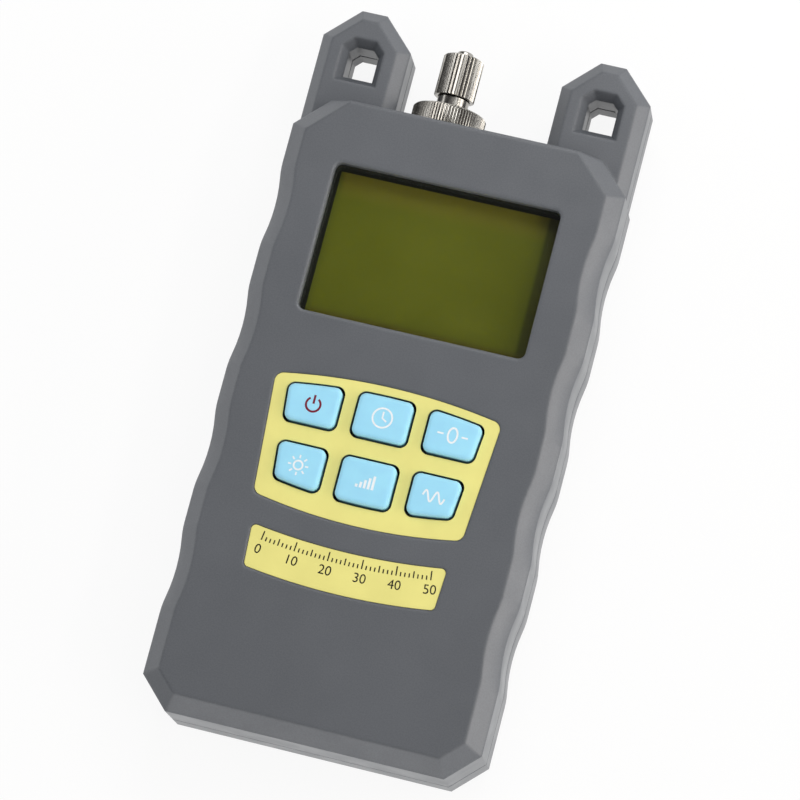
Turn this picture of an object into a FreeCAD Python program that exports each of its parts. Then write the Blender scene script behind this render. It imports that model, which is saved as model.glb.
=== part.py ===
import FreeCAD, Part
import math
import os

# Hand-held optical power meter, lying on its back.
# Millimetres. +X to the right of the face, +Y towards the optical port, +Z out of the face.
# The origin is the centre of the footprint, on the surface that the back rests on.

# ---- housing -----------------------------------------------------------------------------
length = 175.0            # tail to the tips of the strap ears
width = 81.0              # over the crests of the grip waves
thickness = 28.0          # back face to front face
ear_length = 24.6         # tips of the ears beyond the top wall that carries the port
wall = 2.4
edge_chamfer = 4.0        # broad bevel round the front and the back
tail_cut = 7.2            # corner cut at the tail
shoulder_cut = 7.6        # corner cut beside the ears
parting_height = 11.5     # seam between the two shells
seam = 0.25               # small bevel that makes the seam line
top_round = 0.6           # rounding of the short edge above the port

wave_depth = 1.0          # finger waves along both long sides
wave_count = 4
wave_first = 33.0         # first hollow, from the tail
wave_last = 28.3          # last hollow, from the top wall
wave_hollow_radius = 40.0
wave_crest_radius = 20.0

# ---- strap ears --------------------------------------------------------------------------
ear_side = 11.1           # side of the body to the middle of the ear
ear_width = 21.6
ear_cut = 7.7
ear_drop = 7.0            # ear face below the front face
ear_rise = 3.5            # ear underside above the back
ear_chamfer = 2.8
ear_root = 15.0           # how far the ear runs down into the body
strap_width = 7.2
strap_height = 7.9
strap_cut = 1.5
strap_margin = 9.05       # ear tip to the top of the strap hole
strap_flare = 1.6
strap_flare_depth = 2.7
strap_wall = 1.8          # moulded tube round the hole

# ---- display -----------------------------------------------------------------------------
screen_side = 13.1        # side of the body to the opening
screen_height = 36.5
screen_corner = 1.8
screen_margin = 15.2      # top wall to the top of the opening
screen_edge_round = 0.5
window_thickness = 1.0
window_lap = 1.6          # how far the window laps under the face
lcd_thickness = 1.8
backlight_thickness = 2.0
lcd_lap = 1.4             # glass beyond the opening
frame_wall = 1.0
frame_gap = 0.15
strip_width = 1.8         # elastomer contact strip

# ---- overlays ----------------------------------------------------------------------------
overlay_shift = -0.9      # both yellow overlays sit a little left of the centre line
overlay_thickness = 0.35
recess_depth = 0.5
overlay_gap = 0.15
panel_gap = 13.55         # screen opening to the keypad overlay, on the centre line
panel_height = 33.6
panel_side = 13.3         # side of the body to the overlay's upper corner
panel_lean = 2.2          # how far its sides lean in towards the tail
panel_top_arc = 148.5
panel_tail_arc = 130.0
panel_corner = 2.1
plate_gap = 6.5           # keypad overlay to the name plate
plate_height = 9.95
plate_side = 17.15
plate_lean = 0.6
plate_arc = 158.0
plate_corner = 1.1

# ---- keys --------------------------------------------------------------------------------
key_middle_width = 13.35
key_column_gap = 3.7
key_row_gap = 4.75
key_row_top = 13.05       # top of the overlay to the lower edge of the upper row
key_margin_top = 2.3
key_margin_tail = 4.85
key_margin_side = 3.6
key_corner = 1.7
key_crown_round = 0.8
key_height = 1.3          # above the face
key_gap = 0.38            # air round each key
key_travel = 1.0
pill_thickness = 0.45
pill_inset = 3.6
pill_clearance = 0.3      # left between pill and board when fully pressed
guide_wall = 0.9
guide_clearance = 2.5     # mat collar to the lower end of the key guides
mat_thickness = 1.2
mat_collar_height = 1.0
mat_collar_wall = 0.7
mat_rib_wall = 0.9

# ---- boards ------------------------------------------------------------------------------
board_thickness = 1.6
board_rise = 1.9          # roof of the battery well to the board
board_side = 6.0          # side of the body to the board
board_top_gap = 0.3       # board beyond the display frame
board_lap = 6.45          # how far the board runs down over the battery well
board_under_mat = 0.5     # mat beyond the board's tail
board_corner_cut = 5.0
board_screw_inset = 2.1
board_screw_edge = 4.0    # first and last board screw from the board's ends
board_screw_radius = 0.9
board_head_radius = 1.9
board_head_height = 1.4
board_boss_radius = 2.0
board_screw_bite = 5.0
processor_x = 4.0
processor_half = 5.0
processor_pins = 8        # on each of its four sides
crystal_x = 16.0
buzzer_x = -20.0
buzzer_radius = 5.0

# ---- case screws -------------------------------------------------------------------------
case_top_side = 8.0       # side of the body to the upper screws
case_top_edge = 8.3       # from the top wall
case_tail_side = 9.0      # side of the body to the lower screws
case_tail_edge = 13.0     # from the tail
case_boss_radius = 3.4
case_screw_radius = 1.4
case_hole_radius = 1.6
case_head_radius = 2.7
case_head_height = 2.2
case_head_sink = 1.2
case_screw_bite = 9.0
tongue_height = 1.5
tongue_inset = 1.3
tongue_gap = 0.3

# ---- battery well ------------------------------------------------------------------------
cell_radius = 5.25
cell_length = 44.5
cell_nub_radius = 1.9
cell_nub_height = 0.9
cell_spacing = 0.8
cell_count = 3
cell_side_gap = 0.8
cell_roof_gap = 0.3
well_tail = 7.5           # tail to the inside of the well
well_wall = 2.4
well_roof = 1.2
spring_length = 5.7
spring_wire = 0.6
spring_turns = 3.5
spring_big_radius = 3.2
spring_small_radius = 2.2
contact_thickness = 0.4
contact_width = 8.0
contact_height = 6.4
contact_tail_width = 3.0
return_strip_width = 3.0
return_strip_thickness = 0.3

# ---- battery door ------------------------------------------------------------------------
door_thickness = 1.8
door_sink = 0.3           # outer face above the surface the meter lies on
door_gap = 0.4
door_seat = 0.35          # air between door and well rim
door_ledge = 1.25
hook_x = 10.0
hook_width = 5.0
hook_reach = 1.35
hook_thickness = 1.2
hook_lift = 0.35
tab_width = 10.0
tab_reach = 3.8
tab_thickness = 1.2
scoop_radius = 9.0
scoop_depth = 1.1
grip_count = 5
grip_pitch = 2.4
grip_length = 16.0
grip_depth = 0.4

# ---- optical port ------------------------------------------------------------------------
port_x = -6.4
port_z = 14.0
stub_radius = 5.9
stub_length = 4.0         # beyond the top wall
stub_gap = 0.3
flange_radius = 7.0
flange_thickness = 2.3
rear_tube_radius = 4.6
rear_tube_length = 6.6
diode_radius = 2.35
diode_length = 4.2
diode_gap = 0.05
diode_rim_radius = 2.7
diode_rim = 0.5
diode_window_radius = 1.3
lead_radius = 0.25
lead_pitch = 2.54
ring_radius = 8.9
ring_length = 6.0
ring_bevel = 0.7
collar_length = 1.1       # plain foot of the ring, below its knurled band
collar_groove = 0.45
thread_gap = 0.08
snout_radius = 3.85
snout_length = 11.1
snout_bore_radius = 3.0
snout_bore_depth = 5.5
key_slot_width = 2.1
key_slot_depth = 2.2
sleeve_radius = 1.7
sleeve_bore_radius = 1.26
sleeve_length = 12.4
sleeve_gap = 0.03
sleeve_drop = 0.6         # sleeve mouth below the snout's rim

# ---- dust cap ----------------------------------------------------------------------------
cap_radius = 4.9
cap_length = 11.3
cap_neck = 2.8            # bare neck between ring and cap
cap_bevel = 0.8
cap_mouth_bevel = 0.2
cap_end_wall = 1.8
seal_radius = 3.6
seal_thickness = 0.7
stud_radius = 2.0
stud_height = 1.2
stud_pin_radius = 0.95
stud_pin_gap = 0.02

# ---- values that follow ------------------------------------------------------------------
tail_y = -length / 2
tip_y = length / 2
top_y = tip_y - ear_length
half = width / 2
wave_pitch = (top_y - tail_y - wave_first - wave_last) / (wave_count - 1)
ear_middle = half - ear_side
inner_face = thickness - wall
ear_face = thickness - ear_drop
slope = math.tan(math.radians(22.5))
root2 = math.sqrt(2.0)

door_bottom = door_sink
door_top = door_sink + door_thickness
rim_z = door_top + door_seat
cell_pitch = 2 * cell_radius + cell_spacing
cell_z = door_top + cell_roof_gap + cell_radius
well_ceiling = cell_z + cell_radius + cell_roof_gap
well_half = (cell_count - 1) * cell_pitch / 2 + cell_radius + cell_side_gap
well_y0 = tail_y + well_tail
well_y1 = well_y0 + cell_length + spring_length + 2 * contact_thickness
mouth_half = well_half + door_ledge
mouth_y0 = well_y0 - door_ledge
mouth_y1 = well_y1 + door_ledge
door_half = mouth_half - door_gap
door_y0 = mouth_y0 + door_gap
door_y1 = mouth_y1 - door_gap
contact_z0 = cell_z - contact_height / 2 + 0.4

board_bottom = well_ceiling + well_roof + board_rise
board_top = board_bottom + board_thickness
board_half = half - board_side
board_screw_x = board_half - board_screw_inset
lcd_bottom = board_top + backlight_thickness
lcd_top = lcd_bottom + lcd_thickness
screen_width = width - 2 * screen_side
screen_top = top_y - screen_margin
screen_y = screen_top - screen_height / 2
screen_tail = screen_top - screen_height
window_bottom = inner_face - window_thickness
lcd_half_x = screen_width / 2 + lcd_lap
lcd_half_y = screen_height / 2 + lcd_lap
frame_half_x = lcd_half_x + frame_gap + frame_wall
frame_half_y = lcd_half_y + frame_gap + frame_wall
board_head_y = screen_y + frame_half_y + board_top_gap

panel_top = screen_tail - panel_gap
panel_tail = panel_top - panel_height
panel_top_half = half - panel_side
panel_tail_half = panel_top_half - panel_lean
board_tail_y = min(well_y1 - board_lap, panel_tail + board_under_mat)
plate_top = panel_tail - plate_gap
plate_tail = plate_top - plate_height
plate_top_half = half - plate_side
plate_tail_half = plate_top_half - plate_lean
recess_floor = thickness - recess_depth
overlay_top = recess_floor + overlay_thickness
key_top = thickness + key_height
pill_bottom = board_top + pill_clearance + key_travel
key_bottom = pill_bottom + pill_thickness
upper_row_tail = panel_top - key_row_top
lower_row_top = upper_row_tail - key_row_gap

wall_in_y = top_y - wall
ring_top = top_y + ring_length
snout_top = ring_top + snout_length
cap_y0 = ring_top + cap_neck
cap_y1 = cap_y0 + cap_length
cap_floor = cap_y1 - cap_end_wall


def v(x, y, z=0.0):
    return FreeCAD.Vector(x, y, z)


def line(a, b):
    return Part.makeLine(a, b)


def arc(a, m, b):
    return Part.Arc(a, m, b).toShape()


def polygon(points, z):
    pts = [v(x, y, z) for x, y in points]
    return Part.makePolygon(pts + [pts[0]])


def box(x0, x1, y0, y1, z0, z1):
    return Part.makeBox(x1 - x0, y1 - y0, z1 - z0, v(x0, y0, z0))


def extrude(wire, z0, z1):
    face = Part.Face(wire)
    face.translate(v(0, 0, z0 - face.BoundBox.ZMin))
    return face.extrude(v(0, 0, z1 - z0))


def post(x, y, z0, z1, radius):
    return Part.makeCylinder(radius, z1 - z0, v(x, y, z0))


def port_cylinder(y0, y1, radius):
    """A cylinder on the axis of the optical port."""
    return Part.makeCylinder(radius, y1 - y0, v(port_x, y0, port_z), v(0, 1, 0))


def turned(profile):
    """A turned piece on the port axis, from (radius, y) pairs."""
    pts = [v(port_x + r, y, port_z) for r, y in profile]
    face = Part.Face(Part.makePolygon(pts + [pts[0]]))
    return face.revolve(v(port_x, 0, port_z), v(0, 1, 0), 360)


def stack(outline, levels):
    """Join outlines at rising heights; outline(inset, z) keeps the same edges at each inset."""
    solid = None
    for (z0, i0), (z1, i1) in zip(levels, levels[1:]):
        if i0 == i1:
            piece = extrude(outline(i0, z0), z0, z1)
        else:
            piece = Part.makeLoft([outline(i0, z0), outline(i1, z1)], True, True)
        solid = piece if solid is None else solid.fuse(piece)
    return solid.removeSplitter()


def round_vertical(solid, radius):
    edges = [e for e in solid.Edges
             if e.BoundBox.XLength < 1e-4 and e.BoundBox.YLength < 1e-4]
    return solid.makeFillet(radius, edges)


def round_rim(solid, z, radius):
    edges = [e for e in solid.Edges
             if abs(e.BoundBox.ZMin - z) < 1e-4 and abs(e.BoundBox.ZMax - z) < 1e-4]
    return solid.makeFillet(radius, edges)


def mirrored(shape):
    return shape.mirror(v(0, 0, 0), v(1, 0, 0))


# ---- housing outline ---------------------------------------------------------------------

def body_outline(inset, z, end_inset=0.0):
    """Plan of the housing: cut corners, waved sides, straight top wall."""
    crest, hollow = wave_crest_radius, wave_hollow_radius
    theta = math.acos(1 - wave_depth / (crest + hollow))
    reach = (crest + hollow) * math.sin(theta)
    x_side = half - inset
    path = [("L", [(half - tail_cut - inset * slope, tail_y + inset),
                   (x_side, tail_y + tail_cut + inset * slope)])]
    for k in range(wave_count):
        yc = tail_y + wave_first + k * wave_pitch
        xo = half - crest
        r_out = crest - inset
        low = (xo + r_out * math.cos(theta), yc - reach + r_out * math.sin(theta))
        high = (low[0], 2 * yc - low[1])
        bend = (xo + r_out * math.cos(theta / 2), r_out * math.sin(theta / 2))
        path.append(("L", [path[-1][1][-1], (x_side, yc - reach)]))
        path.append(("A", [(x_side, yc - reach), (bend[0], yc - reach + bend[1]), low]))
        path.append(("A", [low, (half - wave_depth - inset, yc), high]))
        path.append(("A", [high, (bend[0], yc + reach - bend[1]), (x_side, yc + reach)]))
    path.append(("L", [path[-1][1][-1], (x_side, top_y - shoulder_cut - inset * slope)]))
    path.append(("L", [path[-1][1][-1],
                       (half - shoulder_cut - root2 * inset + end_inset, top_y - end_inset)]))
    right, left = [], []
    for kind, pts in path:
        make = line if kind == "L" else arc
        right.append(make(*[v(x, y, z) for x, y in pts]))
        left.append(make(*[v(-x, y, z) for x, y in reversed(pts)]))
    start, end = path[0][1][0], path[-1][1][-1]
    top = line(v(end[0], end[1], z), v(-end[0], end[1], z))
    tail = line(v(-start[0], start[1], z), v(start[0], start[1], z))
    return Part.Wire([tail] + right + [top] + left[::-1])


def inner_outline(inset, z):
    return body_outline(inset, z, wall)


def ear_outline(inset, z):
    """Plan of the right ear, open end buried in the body."""
    xc, hw = ear_middle, ear_width / 2
    low = top_y - ear_root
    shoulder = tip_y - ear_cut - inset * slope
    flat = hw - ear_cut - inset * slope
    right = [(hw - inset, low), (hw - inset, shoulder), (flat, tip_y - inset)]
    points = [(xc + x, y) for x, y in right] + [(xc - x, y) for x, y in right[::-1]]
    return polygon(points, z)


def ear_pocket_outline(inset, z):
    xc, hw = ear_middle, ear_width / 2 - inset
    shoulder = tip_y - ear_cut - inset * slope
    flat = ear_width / 2 - ear_cut - inset * slope
    right = [(hw, top_y), (hw, shoulder), (flat, tip_y - inset)]
    points = [(xc + x, y) for x, y in right] + [(xc - x, y) for x, y in right[::-1]]
    return polygon(points, z)


def strap_outline(grow, z):
    """Strap hole of the right ear: a square with its two upper corners cut."""
    xc, hw = ear_middle, strap_width / 2
    y1 = tip_y - strap_margin
    y0 = y1 - strap_height
    right = [(hw + grow, y0 - grow), (hw + grow, y1 - strap_cut + grow * slope),
             (hw - strap_cut + grow * slope, y1 + grow)]
    points = [(xc + x, y) for x, y in right] + [(xc - x, y) for x, y in right[::-1]]
    return polygon(points, z)


def front_ear():
    levels = [(parting_height, seam), (parting_height + seam, 0.0),
              (ear_face - ear_chamfer, 0.0), (ear_face, ear_chamfer)]
    hole = [(parting_height, seam), (parting_height + seam, 0.0),
            (ear_face - strap_flare_depth, 0.0), (ear_face, strap_flare)]
    pocket = extrude(ear_pocket_outline(wall, 0), parting_height, ear_face - wall)
    pocket = pocket.cut(extrude(strap_outline(strap_wall, 0), parting_height, ear_face))
    return stack(ear_outline, levels), stack(strap_outline, hole), pocket


def rear_ear():
    levels = [(ear_rise, ear_chamfer), (ear_rise + ear_chamfer, 0.0),
              (parting_height - seam, 0.0), (parting_height, seam)]
    hole = [(ear_rise, strap_flare), (ear_rise + strap_flare_depth, 0.0),
            (parting_height - seam, 0.0), (parting_height, seam)]
    pocket = extrude(ear_pocket_outline(wall, 0), ear_rise + wall, parting_height)
    pocket = pocket.cut(extrude(strap_outline(strap_wall, 0), ear_rise, parting_height))
    return stack(ear_outline, levels), stack(strap_outline, hole), pocket


# ---- overlay and key outlines ------------------------------------------------------------

def bowed_face(top, tail, top_half, tail_half, top_radius, tail_radius, smile, z):
    """A face with bowed ends and leaning sides. The top edge bows up, or down for a smile."""
    sign = -1.0 if smile else 1.0

    def edge_y(mid, radius, x, s):
        return mid - s * (radius - math.sqrt(radius ** 2 - x ** 2))
    yt = edge_y(top, top_radius, top_half, sign)
    yb = edge_y(tail, tail_radius, tail_half, -1.0)
    cx = overlay_shift
    edges = [arc(v(cx - top_half, yt, z), v(cx, top, z), v(cx + top_half, yt, z)),
             line(v(cx + top_half, yt, z), v(cx + tail_half, yb, z)),
             arc(v(cx + tail_half, yb, z), v(cx, tail, z), v(cx - tail_half, yb, z)),
             line(v(cx - tail_half, yb, z), v(cx - top_half, yt, z))]
    return Part.Wire(edges)


def panel_prism(grow, z0, z1):
    """Keypad overlay outline, grown all round."""
    wire = bowed_face(panel_top + grow, panel_tail - grow, panel_top_half + grow,
                      panel_tail_half + grow, panel_top_arc + grow, panel_tail_arc + grow, False, 0)
    return round_vertical(extrude(wire, z0, z1), panel_corner + grow)


def plate_prism(grow, z0, z1):
    wire = bowed_face(plate_top + grow, plate_tail - grow, plate_top_half + grow,
                      plate_tail_half + grow, plate_arc - grow, plate_arc + grow, True, 0)
    return round_vertical(extrude(wire, z0, z1), plate_corner + grow)


def key_prism(column, row, grow, z0, z1):
    """Plan of one key: a cell of the grid, bounded by the bows and sides of the overlay."""
    side = key_margin_side - grow
    top = key_margin_top - grow
    tail = key_margin_tail - grow
    field = extrude(bowed_face(panel_top - top, panel_tail + tail, panel_top_half - side,
                               panel_tail_half - side, panel_top_arc - top,
                               panel_tail_arc - tail, False, 0), z0, z1)
    mid = key_middle_width / 2
    if column == 0:
        x0, x1 = -mid - grow, mid + grow
    else:
        x0, x1 = mid + key_column_gap - grow, panel_top_half
        if column < 0:
            x0, x1 = -x1, -x0
    if row == 0:
        y0, y1 = upper_row_tail - grow, panel_top
    else:
        y0, y1 = panel_tail, lower_row_top + grow
    cell = box(overlay_shift + x0, overlay_shift + x1, y0, y1, z0, z1)
    return round_vertical(field.common(cell).Solids[0], key_corner + grow)


KEYS = {
    "power": (-1, 0), "timer": (0, 0), "zero": (1, 0),
    "light": (-1, 1), "level": (0, 1), "wave": (1, 1),
}


# ---- repeated places ---------------------------------------------------------------------

def case_screw_places():
    y_top = top_y - case_top_edge
    y_tail = tail_y + case_tail_edge
    x_top = half - case_top_side
    x_tail = half - case_tail_side
    return [(-x_top, y_top), (x_top, y_top), (-x_tail, y_tail), (x_tail, y_tail)]


def board_screw_places():
    y0 = board_tail_y + board_screw_edge
    y1 = board_head_y - board_corner_cut - board_screw_edge / 4
    return [(sx * board_screw_x, y) for y in (y0, (y0 + y1) / 2, y1) for sx in (-1, 1)]


def screen_opening(z0, z1):
    opening = box(-screen_width / 2, screen_width / 2, screen_tail, screen_top, z0, z1)
    return round_vertical(opening, screen_corner)


# ---- shells ------------------------------------------------------------------------------

def front_shell():
    outer = stack(body_outline, [(parting_height, seam), (parting_height + seam, 0.0),
                                 (thickness - edge_chamfer, 0.0), (thickness, edge_chamfer)])
    # short edge above the port is only rounded
    r = top_round
    nib = box(-half, half, top_y - r, top_y + 1, thickness - r, thickness + 1)
    nib = nib.cut(Part.makeCylinder(r, width, v(-half, top_y - r, thickness - r), v(1, 0, 0)))
    outer = outer.cut(nib)
    ear, hole, pocket = front_ear()
    for shape in (ear, mirrored(ear)):
        outer = outer.fuse(shape)
    # the hollow keeps an even wall behind the broad bevel
    bevel_inset = edge_chamfer - wall + wall * root2
    low_z = inner_face - (bevel_inset - wall)
    hollow = stack(inner_outline, [(parting_height, wall), (low_z, wall), (inner_face, bevel_inset)])
    shell = outer.cut(hollow)
    rebate = extrude(body_outline(tongue_inset - tongue_gap, 0, tongue_inset - tongue_gap),
                     parting_height, parting_height + tongue_height + tongue_gap)
    shell = shell.cut(rebate)
    for shape in (hole, mirrored(hole), pocket, mirrored(pocket)):
        shell = shell.cut(shape)

    # openings and recesses of the face
    shell = shell.cut(screen_opening(inner_face - 1, thickness + 1))
    shell = shell.cut(panel_prism(overlay_gap, recess_floor, thickness + 1))
    shell = shell.cut(plate_prism(overlay_gap, recess_floor, thickness + 1))

    # inner frame that holds the rubber mat down, and a guide round each key
    mat_top = board_top + mat_thickness
    guide_low = mat_top + mat_collar_height + guide_clearance
    frame = panel_prism(0.0, mat_top, inner_face).cut(
        panel_prism(-mat_rib_wall, mat_top - 1, inner_face + 1))
    shell = shell.fuse(frame)
    for column, row in KEYS.values():
        guide = key_prism(column, row, key_gap + guide_wall, guide_low, inner_face)
        shell = shell.fuse(guide)
    for column, row in KEYS.values():
        shell = shell.cut(key_prism(column, row, key_gap, guide_low - 1, thickness + 1))

    # screw posts for the board and the case
    for x, y in board_screw_places():
        shell = shell.fuse(post(x, y, board_top, inner_face + wall / 2, board_boss_radius))
        shell = shell.cut(post(x, y, board_top - 1, board_top + board_screw_bite + 0.5,
                               board_screw_radius + 0.05))
    for x, y in case_screw_places():
        shell = shell.fuse(post(x, y, parting_height + 0.15, inner_face + wall / 4, case_boss_radius))
        shell = shell.cut(post(x, y, parting_height - 1, parting_height + case_screw_bite + 1,
                               case_screw_radius + 0.05))
    shell = shell.cut(port_cylinder(wall_in_y - 1, top_y + 1, stub_radius + stub_gap))
    rim = [e for e in shell.Edges
           if abs(e.BoundBox.ZMin - thickness) < 1e-4 and abs(e.BoundBox.ZMax - thickness) < 1e-4
           and abs(e.BoundBox.Center.x) < screen_width / 2 + 0.1
           and screen_tail - 0.1 < e.BoundBox.Center.y < screen_top + 0.1]
    return shell.makeFillet(screen_edge_round, rim)


def rear_shell():
    outer = stack(body_outline, [(0.0, edge_chamfer), (edge_chamfer, 0.0),
                                 (parting_height - seam, 0.0), (parting_height, seam)])
    ear, hole, pocket = rear_ear()
    for shape in (ear, mirrored(ear)):
        outer = outer.fuse(shape)
    bevel_inset = edge_chamfer - wall + wall * root2
    hollow = stack(inner_outline, [(wall, bevel_inset), (bevel_inset, wall), (parting_height, wall)])
    shell = outer.cut(hollow)
    for shape in (hole, mirrored(hole), pocket, mirrored(pocket)):
        shell = shell.cut(shape)
    tongue = extrude(body_outline(tongue_inset, 0, tongue_inset),
                     parting_height, parting_height + tongue_height)
    tongue = tongue.cut(extrude(inner_outline(wall, 0), parting_height - 1,
                                parting_height + tongue_height + 1))
    shell = shell.fuse(tongue)

    # battery well, open at the back
    well = box(-well_half - well_wall, well_half + well_wall, well_y0 - well_wall,
               well_y1 + well_wall, wall / 2, well_ceiling + well_roof)
    shell = shell.fuse(well)
    shell = shell.cut(box(-well_half, well_half, well_y0, well_y1, -1, well_ceiling))
    shell = shell.cut(box(-mouth_half, mouth_half, mouth_y0, mouth_y1, -1, rim_z))
    for sx in (-1, 1):
        slot = hook_width / 2 + door_gap
        shell = shell.cut(box(sx * hook_x - slot, sx * hook_x + slot, well_y0 - well_wall - 0.5,
                              well_y0 + 1, wall, door_top + hook_lift + hook_thickness + 1.2))
    # recess and finger scoop for the door's tab
    shell = shell.cut(box(-tab_width / 2 - door_gap, tab_width / 2 + door_gap, mouth_y1 - 1,
                          door_y1 + tab_reach + door_gap, -1, door_sink + tab_thickness + door_gap))
    scoop_y = door_y1 + tab_reach + door_gap
    scoop = Part.makeCylinder(scoop_radius, tab_width + 2 * door_gap,
                              v(-tab_width / 2 - door_gap, scoop_y, scoop_depth - scoop_radius),
                              v(1, 0, 0))
    shell = shell.cut(scoop)
    # slots in the roof for the contact tails
    for x, width_, y0, y1 in contact_tails():
        shell = shell.cut(box(x - width_ / 2 - 0.3, x + width_ / 2 + 0.3, y0 - 0.3, y1 + 0.3,
                              well_ceiling - 0.5, well_ceiling + well_roof + 1))

    for x, y in case_screw_places():
        shell = shell.fuse(post(x, y, wall / 2, parting_height - 0.15, case_boss_radius))
        shell = shell.cut(post(x, y, -1, case_head_sink + case_head_height, case_head_radius + 0.3))
        shell = shell.cut(post(x, y, 0, parting_height + 1, case_hole_radius))
    return shell.cut(port_cylinder(wall_in_y - 1, top_y + 1, stub_radius + stub_gap))


def battery_door():
    door = box(-door_half, door_half, door_y0, door_y1, door_bottom, door_top)
    door = round_vertical(door, 1.0)
    tab = box(-tab_width / 2, tab_width / 2, door_y1 - 1.5, door_y1 + tab_reach,
              door_bottom, door_bottom + tab_thickness)
    door = door.fuse(tab)
    for sx in (-1, 1):
        x0, x1 = sx * hook_x - hook_width / 2, sx * hook_x + hook_width / 2
        z0 = door_top + hook_lift
        riser = box(x0, x1, door_y0, door_y0 + 1.6, door_top - 0.2, z0 + hook_thickness)
        nose = box(x0, x1, door_y0 - hook_reach, door_y0 + 0.5, z0, z0 + hook_thickness)
        door = door.fuse(riser).fuse(nose)
    for k in range(grip_count):
        y = door_y1 - 4.0 - k * grip_pitch
        groove = Part.makeCylinder(grip_depth * 1.25, grip_length,
                                   v(-grip_length / 2, y, door_bottom - grip_depth / 4), v(1, 0, 0))
        door = door.cut(groove)
    return door.removeSplitter()


def case_screws():
    screws = []
    for x, y in case_screw_places():
        seat = case_head_sink + case_head_height
        head = post(x, y, case_head_sink, seat, case_head_radius)
        shank = post(x, y, seat, parting_height + case_screw_bite, case_screw_radius)
        cross = 2 * case_head_radius * 0.6
        slot_a = box(x - cross / 2, x + cross / 2, y - 0.35, y + 0.35, 0, case_head_sink + 1.2)
        slot_b = box(x - 0.35, x + 0.35, y - cross / 2, y + cross / 2, 0, case_head_sink + 1.2)
        screws.append(head.fuse(shank).cut(slot_a).cut(slot_b).removeSplitter())
    return Part.makeCompound(screws)


# ---- display -----------------------------------------------------------------------------

def display_window():
    hx, hy = screen_width / 2 + window_lap, screen_height / 2 + window_lap
    return round_vertical(box(-hx, hx, screen_y - hy, screen_y + hy, window_bottom, inner_face), 1.0)


def display_frame():
    outer = box(-frame_half_x, frame_half_x, screen_y - frame_half_y, screen_y + frame_half_y,
                board_top, window_bottom)
    outer = round_vertical(outer, 1.2)
    hx, hy = lcd_half_x + frame_gap, lcd_half_y + frame_gap
    pocket = box(-hx, hx, screen_y - hy, screen_y + hy, board_top - 1, lcd_top)
    return outer.cut(pocket).cut(screen_opening(lcd_top - 1, window_bottom + 1))


def lcd_panel():
    return box(-lcd_half_x, lcd_half_x, screen_y - lcd_half_y, screen_y + lcd_half_y,
               lcd_bottom, lcd_top)


def backlight_panel():
    return box(-lcd_half_x, lcd_half_x, screen_y - lcd_half_y + strip_width + 0.4,
               screen_y + lcd_half_y, board_top, lcd_bottom)


def contact_strip():
    return box(-lcd_half_x + 2, lcd_half_x - 2, screen_y - lcd_half_y + 0.1,
               screen_y - lcd_half_y + 0.1 + strip_width, board_top, lcd_bottom)


# ---- keypad ------------------------------------------------------------------------------

def keypad_overlay():
    film = panel_prism(0.0, recess_floor, overlay_top)
    for column, row in KEYS.values():
        film = film.cut(key_prism(column, row, key_gap, recess_floor - 1, overlay_top + 1))
    return film


def name_plate():
    return plate_prism(0.0, recess_floor, overlay_top)


def keypad_mat():
    mat = panel_prism(0.0, board_top, board_top + mat_thickness)
    for column, row in KEYS.values():
        mat = mat.fuse(key_prism(column, row, key_gap + mat_collar_wall, board_top,
                                 board_top + mat_thickness + mat_collar_height))
    for column, row in KEYS.values():
        mat = mat.cut(key_prism(column, row, key_gap, board_top - 1,
                                board_top + mat_thickness + mat_collar_height + 1))
    return mat.removeSplitter()


def key_cap(column, row):
    return round_rim(key_prism(column, row, 0.0, key_bottom, key_top), key_top, key_crown_round)


def key_pill(column, row):
    centre = key_prism(column, row, 0.0, key_bottom, key_top).BoundBox
    hx = centre.XLength / 2 - pill_inset
    hy = centre.YLength / 2 - pill_inset
    pill = box(centre.Center.x - hx, centre.Center.x + hx, centre.Center.y - hy,
               centre.Center.y + hy, pill_bottom, key_bottom)
    return round_vertical(pill, min(hx, hy) * 0.45)


# ---- boards ------------------------------------------------------------------------------

def main_board():
    hw = board_half
    cut = board_corner_cut
    right = [(hw, board_tail_y), (hw, board_head_y - cut), (hw - cut, board_head_y)]
    points = right + [(-x, y) for x, y in right[::-1]]
    board = extrude(polygon(points, 0), board_bottom, board_top)
    for x, y in board_screw_places():
        board = board.cut(post(x, y, board_bottom - 1, board_top + 1, board_screw_radius + 0.3))
    return board


def board_screws():
    screws = []
    for x, y in board_screw_places():
        head = post(x, y, board_bottom - board_head_height, board_bottom, board_head_radius)
        shank = post(x, y, board_bottom, board_top + board_screw_bite, board_screw_radius)
        slot = box(x - board_head_radius * 0.7, x + board_head_radius * 0.7, y - 0.25, y + 0.25,
                   board_bottom - board_head_height - 1, board_bottom - board_head_height * 0.5)
        screws.append(head.fuse(shank).cut(slot).removeSplitter())
    return Part.makeCompound(screws)


def leaded_chip(x, y, hx, hy, height, pins, pitch, four_sided):
    """A moulded package under the board with bent legs."""
    z1 = board_bottom
    body = box(x - hx, x + hx, y - hy, y + hy, z1 - height, z1 - 0.15)
    leg = 0.9
    for k in range(pins):
        s = (k - (pins - 1) / 2) * pitch
        for side in (-1, 1):
            a, b = sorted((side * (hx - 0.1), side * (hx + leg)))
            body = body.fuse(box(x + a, x + b, y + s - 0.16, y + s + 0.16, z1 - 0.35, z1))
            if four_sided:
                a, b = sorted((side * (hy - 0.1), side * (hy + leg)))
                body = body.fuse(box(x + s - 0.16, x + s + 0.16, y + a, y + b, z1 - 0.35, z1))
    return body


def processor():
    half_ = processor_half
    pitch = 2 * half_ / (processor_pins + 2)
    return leaded_chip(processor_x, screen_y, half_, half_, 1.5, processor_pins, pitch, True)


def amplifier():
    return leaded_chip(port_x, board_head_y - 9.0, 2.0, 2.5, 1.5, 4, 1.27, False)


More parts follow.
